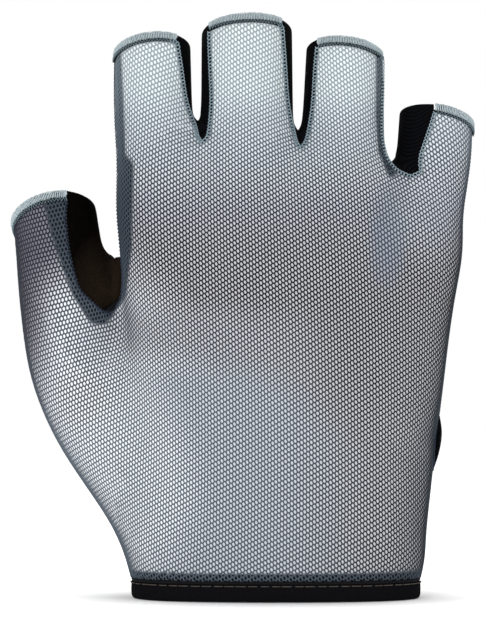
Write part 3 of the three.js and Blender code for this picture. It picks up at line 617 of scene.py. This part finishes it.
# %% Carry the net to the glove
flat_place = {}
for point in net.verts:
    spot, _, index, _ = flat_tree.find_nearest(point.co)
    flats = [flat_points[i] for i in corners[index]]
    rise = YARN_RISE if point in ridges else -YARN_SINK
    surface = barycentric_transform(spot, *flats, *[solid_points[i] for i in corners[index]])
    upward = barycentric_transform(spot, *flats, *[solid_normals[i] for i in corners[index]])
    flat_place[point.index] = (spot.x / MAP_SIZE + 0.5, spot.y / MAP_SIZE + 0.5)
    point.co = surface + rise * upward.normalized()
net_uv = net.loops.layers.uv.new("OFBake")
net.verts.index_update()
for face in net.faces:
    for corner in face.loops:
        corner[net_uv].uv = flat_place[corner.vert.index]
net_mesh = bpy.data.meshes.new("net")
net.to_mesh(net_mesh)
net.free()
dye(net_mesh, "yarn")

yarn = Finish("net_yarn", Roughness=0.75, Specular_IOR_Level=0.25)
yarn.colour(yarn.painted("print"))
yarn.bump(yarn.noise(0.08, 2), 0.03, 0.5)
add_piece("net", net_mesh, yarn)

# %% [markdown]
# ## Following an edge
#
# All the sewing runs along edges, so it needs one thing: a place given by how far along an edge it lies,
# how far it stands out from the cloth and how far it lies beyond the edge. `Path` works that out from a
# row of points and the outward direction at each. Between the points it glides on a smooth curve.


# %% Write the path
class Path:
    def __init__(self, points, outward, closed=False):
        self.closed = closed
        self.points = points + points[:1] if closed else points
        self.outward = outward + outward[:1] if closed else outward
        self.marks = [0.0]
        for first, second in zip(self.points, self.points[1:]):
            self.marks.append(self.marks[-1] + (second - first).length)
        self.length = self.marks[-1]

    def around(self, index):
        last = len(self.points) - 1
        return self.points[index % last if self.closed else min(max(index, 0), last)]

    def spot(self, along):
        along = along % self.length if self.closed else min(max(along, 0), self.length)
        index = bisect.bisect_right(self.marks, along, 1, len(self.marks) - 1) - 1
        share = (along - self.marks[index]) / max(self.marks[index + 1] - self.marks[index], 1e-9)
        a, b, c, d = (self.around(index + step) for step in (-1, 0, 1, 2))
        bend = (2 * a - 5 * b + 4 * c - d) * share**2 + (3 * b - a - 3 * c + d) * share**3
        middle = 0.5 * (2 * b + (c - a) * share + bend)
        return middle, self.outward[index].lerp(self.outward[index + 1], share)

    def place(self, along, out, beyond):
        middle, outward = self.spot(along)
        ahead = (self.spot(along + 0.2 * MM)[0] - self.spot(along - 0.2 * MM)[0]).normalized()
        outward = (outward - ahead * outward.dot(ahead)).normalized()
        return middle + out * outward + beyond * ahead.cross(outward)


# %% [markdown]
# A thread is a line of points made into a round tube. Many threads go into one curve object, which is
# turned into a mesh once.


# %% Spin a thread
def spun(lines, radius, closed=False):
    curve = bpy.data.curves.new("thread", "CURVE")
    curve.dimensions = "3D"
    curve.bevel_depth = radius
    curve.bevel_resolution = 1
    curve.use_fill_caps = not closed
    for line in lines:
        spline = curve.splines.new("POLY")
        spline.points.add(len(line) - 1)
        spline.points.foreach_set("co", [value for point in line for value in (*point, 1)])
        spline.use_cyclic_u = closed
    holder = bpy.data.objects.new("thread", curve)
    scene.collection.objects.link(holder)
    made = bpy.data.meshes.new_from_object(holder.evaluated_get(bpy.context.evaluated_depsgraph_get()))
    bpy.data.objects.remove(holder)
    return made


# %% [markdown]
# Tapes and cords run straight along a path. Lacing and stitches swing to and fro across it, or run in
# loops, and `lift` says how far they stand out from the cloth.


# %% Lay a line along a path
TAPE_STEP = 0.8 * MM


def running(path, out, beyond):
    count = int(path.length / TAPE_STEP) + (0 if path.closed else 2)
    return [path.place(i * TAPE_STEP, out, beyond) for i in range(count)]


def zigzag(path, inner, outer, pitch, lift):
    count = int(2 * path.length / pitch)
    return [path.place(i * pitch / 2, lift, outer if i % 2 else -inner) for i in range(count + 1)]


def looping(path, inner, outer, pitch, lift):
    line = []
    for i in range(int(10 * path.length / pitch)):
        angle = 2 * math.pi * i / 10
        along = pitch * (i / 10 + 0.3 * math.sin(angle))
        beyond = (outer - inner) / 2 + (outer + inner) / 2 * math.cos(angle)
        line.append(path.place(along, lift * (1 + 0.3 * math.sin(angle)), beyond))
    return line


# %% [markdown]
# ## The edges of the back
#
# The border of the outer sheet is walked once round, from each border edge to the next. Each stretch is
# then named after the solid that lies nearest to it, because the stretches beside the finger strips are
# sewn otherwise than those beside the suede.


# %% Walk the border
def border_rings(sheet):
    following = {}
    for edge in sheet.edges:
        if len(edge.link_faces) == 1:
            corner = edge.link_loops[0]
            following.setdefault(corner.vert, []).append(corner.link_loop_next.vert)
    rings = []
    for start in list(following):
        ring, point = [], start
        while following[point]:
            ring.append(point)
            point = following[point].pop()
        rings.append(ring)
    return rings


def edge_path(points, closed=False):
    return Path([p.co.copy() for p in points], [p.normal.copy() for p in points], closed)


outer_ring = max(border_rings(back_sheet), key=len)
whole_border = edge_path(outer_ring, closed=True)
print("whole border: %.0f mm" % (whole_border.length / MM))


# %% [markdown]
# Each point of the border asks for the nearest of the other solids, and neighbours with the same answer
# make one stretch.


# %% Name the stretches
def tree_of(node):
    shape = bmesh.new()
    shape.from_mesh(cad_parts[node].data)
    return BVHTree.FromBMesh(shape)


FINGERS = ("thumb", "index", "middle", "ring", "little")
PAIRS = ("index_middle", "middle_ring", "ring_little")
neighbours = ["palm_panel", "side_tab", "wrist_cuff"]
neighbours += [finger + "_hem" for finger in FINGERS] + ["fourchette_" + pair for pair in PAIRS]
trees = {node: tree_of(node) for node in neighbours}


def stretches(ring):
    near = [min(trees, key=lambda node: trees[node].find_nearest(point.co)[3]) for point in ring]
    first = next(i for i in range(len(ring)) if near[i] != near[i - 1])
    turned, names = ring[first:] + ring[:first], near[first:] + near[:first]
    found = []
    for i, point in enumerate(turned):
        if i == 0 or names[i] != names[i - 1]:
            found.append((names[i], [point]))
        else:
            found[-1][1].append(point)
    ends = [points[0] for _, points in found[1:]] + [found[0][1][0]]
    return [(name, points + [end]) for (name, points), end in zip(found, ends)]


borders = [(name, edge_path(points)) for name, points in stretches(outer_ring)]
for name, path in borders:
    print("%s: %.0f mm" % (name, path.length / MM))

# %% [markdown]
# A dark tape lies under the whole border and closes the seam; where it shows, it is painted shade in the
# seam. Along the finger strips a blue-grey lacing thread catches the edge of the net in small loops;
# along the suede the thread is navy.

# %% Sew the borders
tape = Finish("seam_tape", Base_Color=paint("0b0c10"), Roughness=0.9, Specular_IOR_Level=0.2)
# Where this tape shows at the border, its dark colour is painted shade in the seam.
tape_line = running(whole_border, -0.85 * MM, 0.28 * MM)
add_piece("seam_tape", spun([tape_line], 0.72 * MM, closed=True), tape)

lacing = Finish("lacing_thread", Roughness=0.8, Specular_IOR_Level=0.3)
lacing.colour(lacing.blend(lacing.noise(0.6, 2), paint("5f717d"), paint("a9bcc4")))
navy = Finish("navy_thread", Roughness=0.8, Specular_IOR_Level=0.3)
navy.colour(navy.blend(navy.noise(0.6, 2), paint("1a2030"), paint("46536a")))
laced, sewn = [], []
for name, path in borders:
    if name.startswith("fourchette"):
        laced.append(looping(path, 0.5 * MM, 0.55 * MM, 0.95 * MM, 0.55 * MM))
    elif name in ("palm_panel", "side_tab"):
        sewn.append(zigzag(path, 0.5 * MM, 0.35 * MM, 1.0 * MM, 0.3 * MM))
add_piece("edge_lacing", spun(laced, 0.16 * MM), lacing)
add_piece("suede_stitching", spun(sewn, 0.12 * MM), navy)

# %% [markdown]
# The suede has such a tape along its own border too, so no light comes through the seams of the palm.

# %% Tape the suede
palm_mesh = cloth_copy("palm_panel", 1)
palm_sheet = outer_sheet(palm_mesh, Vector((0, 1, 0)))
palm_ring = max(border_rings(palm_sheet), key=len)
# Where it shows, this dark tape is painted shade in the palm's seam.
suede_line = running(edge_path(palm_ring, closed=True), -0.85 * MM, -0.1 * MM)
add_piece("suede_tape", spun([suede_line], 0.55 * MM, closed=True), tape)

# %% [markdown]
# ## The overlocked finger edges
#
# Each cut edge of the net is wound round with a soft, thick thread. The solid of the hem is the core;
# its ring of sections gives the path. The points of one section are joined by short edges, and the
# sections stand further apart than that. The cuff's sections are sorted by the angle round the wrist.


# %% Find the sections of a band
SECTION_POINTS = 8
SECTION_EDGE = 1.45 * MM


def sections_of(band):
    left, sections = set(band.verts), []
    while left:
        section = [left.pop()]
        for point in section:
            for edge in point.link_edges:
                other = edge.other_vert(point)
                if other in left and edge.calc_length() < SECTION_EDGE:
                    left.discard(other)
                    section.append(other)
        sections.append(section)
    return sections


def section_path(node, closed=False):
    band = bmesh.new()
    band.from_mesh(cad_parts[node].data)
    bmesh.ops.remove_doubles(band, verts=band.verts, dist=WELD)
    if closed:
        turned = sorted(band.verts, key=lambda p: math.atan2(p.co.x, -p.co.y))
        starts = range(0, len(turned), SECTION_POINTS)
        sections = [turned[i : i + SECTION_POINTS] for i in starts]
    else:
        sections = sections_of(band)
    middles = [sum((p.co for p in part), Vector((0, 0, 0))) / len(part) for part in sections]
    print("%s: %d sections of %d points" % (node, len(sections), max(map(len, sections))))
    band.free()
    pivot = Vector((0, 0, 0))
    if not closed:
        pivot.x = (min(p.x for p in middles) + max(p.x for p in middles)) / 2
        pivot.y = max(p.y for p in middles)
    middles.sort(key=lambda p: math.atan2(p.x - pivot.x, pivot.y - p.y + 1e-6), reverse=True)
    outward = [Vector((m.x - pivot.x, m.y - pivot.y, 0)).normalized() for m in middles]
    return Path(middles, outward, closed)


# %% [markdown]
# The winding is a helix on a squarish oval. Every turn is a little longer or shorter than the last,
# which gives the furry look of a bulked thread. Over its lower half runs the needle thread in a row
# of dark teal stitches.


# %% Wind the edges
wander = random.Random(5)
STITCH = 0.42 * MM


def winding(path, high, thick, pitch):
    turns = path.length / pitch
    steps = int(turns * 12)
    line = []
    for i in range(steps + 1):
        angle = 2 * math.pi * turns * i / steps
        c, s = math.cos(angle), math.sin(angle)
        swell = 1 + wander.uniform(-0.09, 0.09)
        out = swell * thick * math.copysign(abs(c) ** 0.7, c)
        beyond = swell * high * math.copysign(abs(s) ** 0.7, s)
        line.append(path.place(path.length * i / steps, out, beyond))
    return line


def drawn_in(mesh, depth):
    for point in mesh.vertices:
        point.co -= depth * point.normal
    return mesh


core = Finish("hem_core", Base_Color=paint("1e282e"), Roughness=0.9, Specular_IOR_Level=0.2)
bulked = Finish("bulked_thread", Roughness=0.9, Specular_IOR_Level=0.25, Sheen_Weight=0.2)
bulked.colour(bulked.blend(bulked.noise(0.5, 4), paint("7b8e96"), paint("d0dbde")))
teal = Finish("needle_thread", Roughness=0.8, Specular_IOR_Level=0.3)
teal.colour(teal.blend(teal.noise(0.5, 2), paint("3c525c"), paint("93a8b0")))
for finger in FINGERS:
    path = section_path(finger + "_hem")
    inner = drawn_in(cloth_copy(finger + "_hem", 1), 0.15 * MM)
    add_piece("hem_" + finger, inner, core, finger + "_hem")
    turns = winding(path, 1.1 * MM, 1.08 * MM, STITCH)
    add_piece("winding_" + finger, spun([turns], 0.17 * MM), bulked)
    # A dark cord under the stitches is painted shade: it shows as the dark gaps between them.
    shade_cord = running(path, 0.75 * MM, -1.1 * MM)
    add_piece("backing_" + finger, spun([shade_cord], 0.55 * MM), tape)
    count = int(path.length / STITCH)
    rows = [(-0.75 if i % 2 else -1.65) * MM for i in range(count)]
    stitches = [path.place(i * STITCH, 1.35 * MM, row) for i, row in enumerate(rows)]
    add_piece("stitches_" + finger, spun([stitches], 0.13 * MM), teal)

# %% [markdown]
# ## The other cloth panels
#
# The palm and the inner side of the thumb are brown-black suede: a matt nap that is lighter round the
# web below the thumb. The strips between the fingers are a black elastic knit with
# a fine rib that runs across them on a slant.

# %% Make the suede
suede = Finish("brown_suede", Roughness=1.0, Specular_IOR_Level=0.02)
web_middle = (-47 * MM, 4 * MM, 87 * MM)
between = {0: suede.place(), 1: web_middle}
from_web = suede.node("ShaderNodeVectorMath", {"operation": "DISTANCE"}, between, "Value")
fall = {"Value": from_web, "From Min": 5 * MM, "From Max": 15 * MM, "To Min": 0.6, "To Max": 0.0}
# The suede is lighter round the web below the thumb.
web_fade = suede.node("ShaderNodeMapRange", None, fall)
grain = suede.noise(0.5, 5)
plain_suede = suede.blend(suede.noise(1.4, 6), paint("010101"), paint("0b0806"))
lighter_suede = suede.blend(grain, paint("060403"), paint("46392e"))
suede.colour(suede.blend(web_fade, plain_suede, lighter_suede))
suede.bump(grain, 0.25, 0.7)
add_piece("palm_suede", palm_mesh, suede, "palm_panel")

# %% [markdown]
# The fine ribs of the knit are a sine of the distance along a slanting direction.

# %% Make the knit
knit = Finish("ribbed_knit", Roughness=0.9, Specular_IOR_Level=0.06)
RIB = 0.55 * MM
across_ribs = {0: knit.place(), 1: (0.55, 0.55, -0.63)}
slant = knit.node("ShaderNodeVectorMath", {"operation": "DOT_PRODUCT"}, across_ribs, "Value")
ribs = knit.maths_of("SINE", slant * (2 * math.pi / RIB))
knit.colour(knit.blend(ribs * 0.5 + 0.5, paint("010102"), paint("090a0e")))
knit.bump(ribs, 0.1, 0.9)
for pair in PAIRS:
    strip = cloth_copy("fourchette_" + pair, 2)
    add_piece("strip_" + pair, strip, knit, "fourchette_" + pair)
add_piece("tab", cloth_copy("side_tab", 2), knit, "side_tab")

# %% [markdown]
# ## The ribbed wrist binding
#
# The binding is a knitted band folded round the lower edge. A flat grid has one pair of columns for
# each rib; it is rolled round the section of the cuff and carried along its path, with every second
# column standing higher. A cord of the same yarn lies on its upper edge, and long stitches hold it.

# %% Roll the cuff
cuff_path = section_path("wrist_cuff", closed=True)
CUFF_THICK = 1.3 * MM
CUFF_HIGH = 2.5 * MM
RIBS = round(cuff_path.length / (0.62 * MM))
band = bmesh.new()
bmesh.ops.create_grid(band, x_segments=2 * RIBS, y_segments=16, size=0.5)
for point in band.verts:
    column = round((point.co.x + 0.5) * 2 * RIBS)
    angle = 2 * math.pi * (point.co.y + 0.5)
    c, s = math.cos(angle), math.sin(angle)
    raised = (0.14 if column % 2 else -0.08) * MM
    out = (CUFF_THICK + raised) * math.copysign(abs(c) ** 0.6, c)
    beyond = (CUFF_HIGH + raised) * math.copysign(abs(s) ** 0.6, s)
    point.co = cuff_path.place(cuff_path.length * column / (2 * RIBS), out, beyond)
bmesh.ops.remove_doubles(band, verts=band.verts, dist=0.004 * MM)
bmesh.ops.recalc_face_normals(band, faces=band.faces)
cuff_mesh = bpy.data.meshes.new("cuff")
band.to_mesh(cuff_mesh)
band.free()
binding = Finish("rib_binding", Roughness=0.9, Specular_IOR_Level=0.08)
binding.colour(binding.blend(binding.noise(0.4, 3), paint("020203"), paint("121217")))
add_piece("cuff", cuff_mesh, binding, "wrist_cuff")

# %% [markdown]
# The cord and the long stitches follow the same path, each with its own distance out and upward.

# %% Cord and stitch it
cord = running(cuff_path, 1.0 * MM, 2.6 * MM)
add_piece("cuff_cord", spun([cord], 0.4 * MM, closed=True), tape)
LONG_STITCH = 3.1 * MM
dashes = []
for i in range(int(cuff_path.length / LONG_STITCH)):
    along = i * LONG_STITCH
    end = wander.uniform(1.5, 2.3)
    dips = [(-0.2, -0.2), (0.1, 0.12), (end / 2, 0.2), (end, 0.12), (end + 0.3, -0.2)]
    dashes.append([cuff_path.place(along + a * MM, (1.36 + b) * MM, 1.75 * MM) for a, b in dips])
khaki = Finish("binding_thread", Roughness=0.8, Specular_IOR_Level=0.3)
khaki.colour(khaki.blend(khaki.noise(0.8, 2), paint("1c1916"), paint("625a52")))
add_piece("cuff_stitches", spun(dashes, 0.15 * MM), khaki)
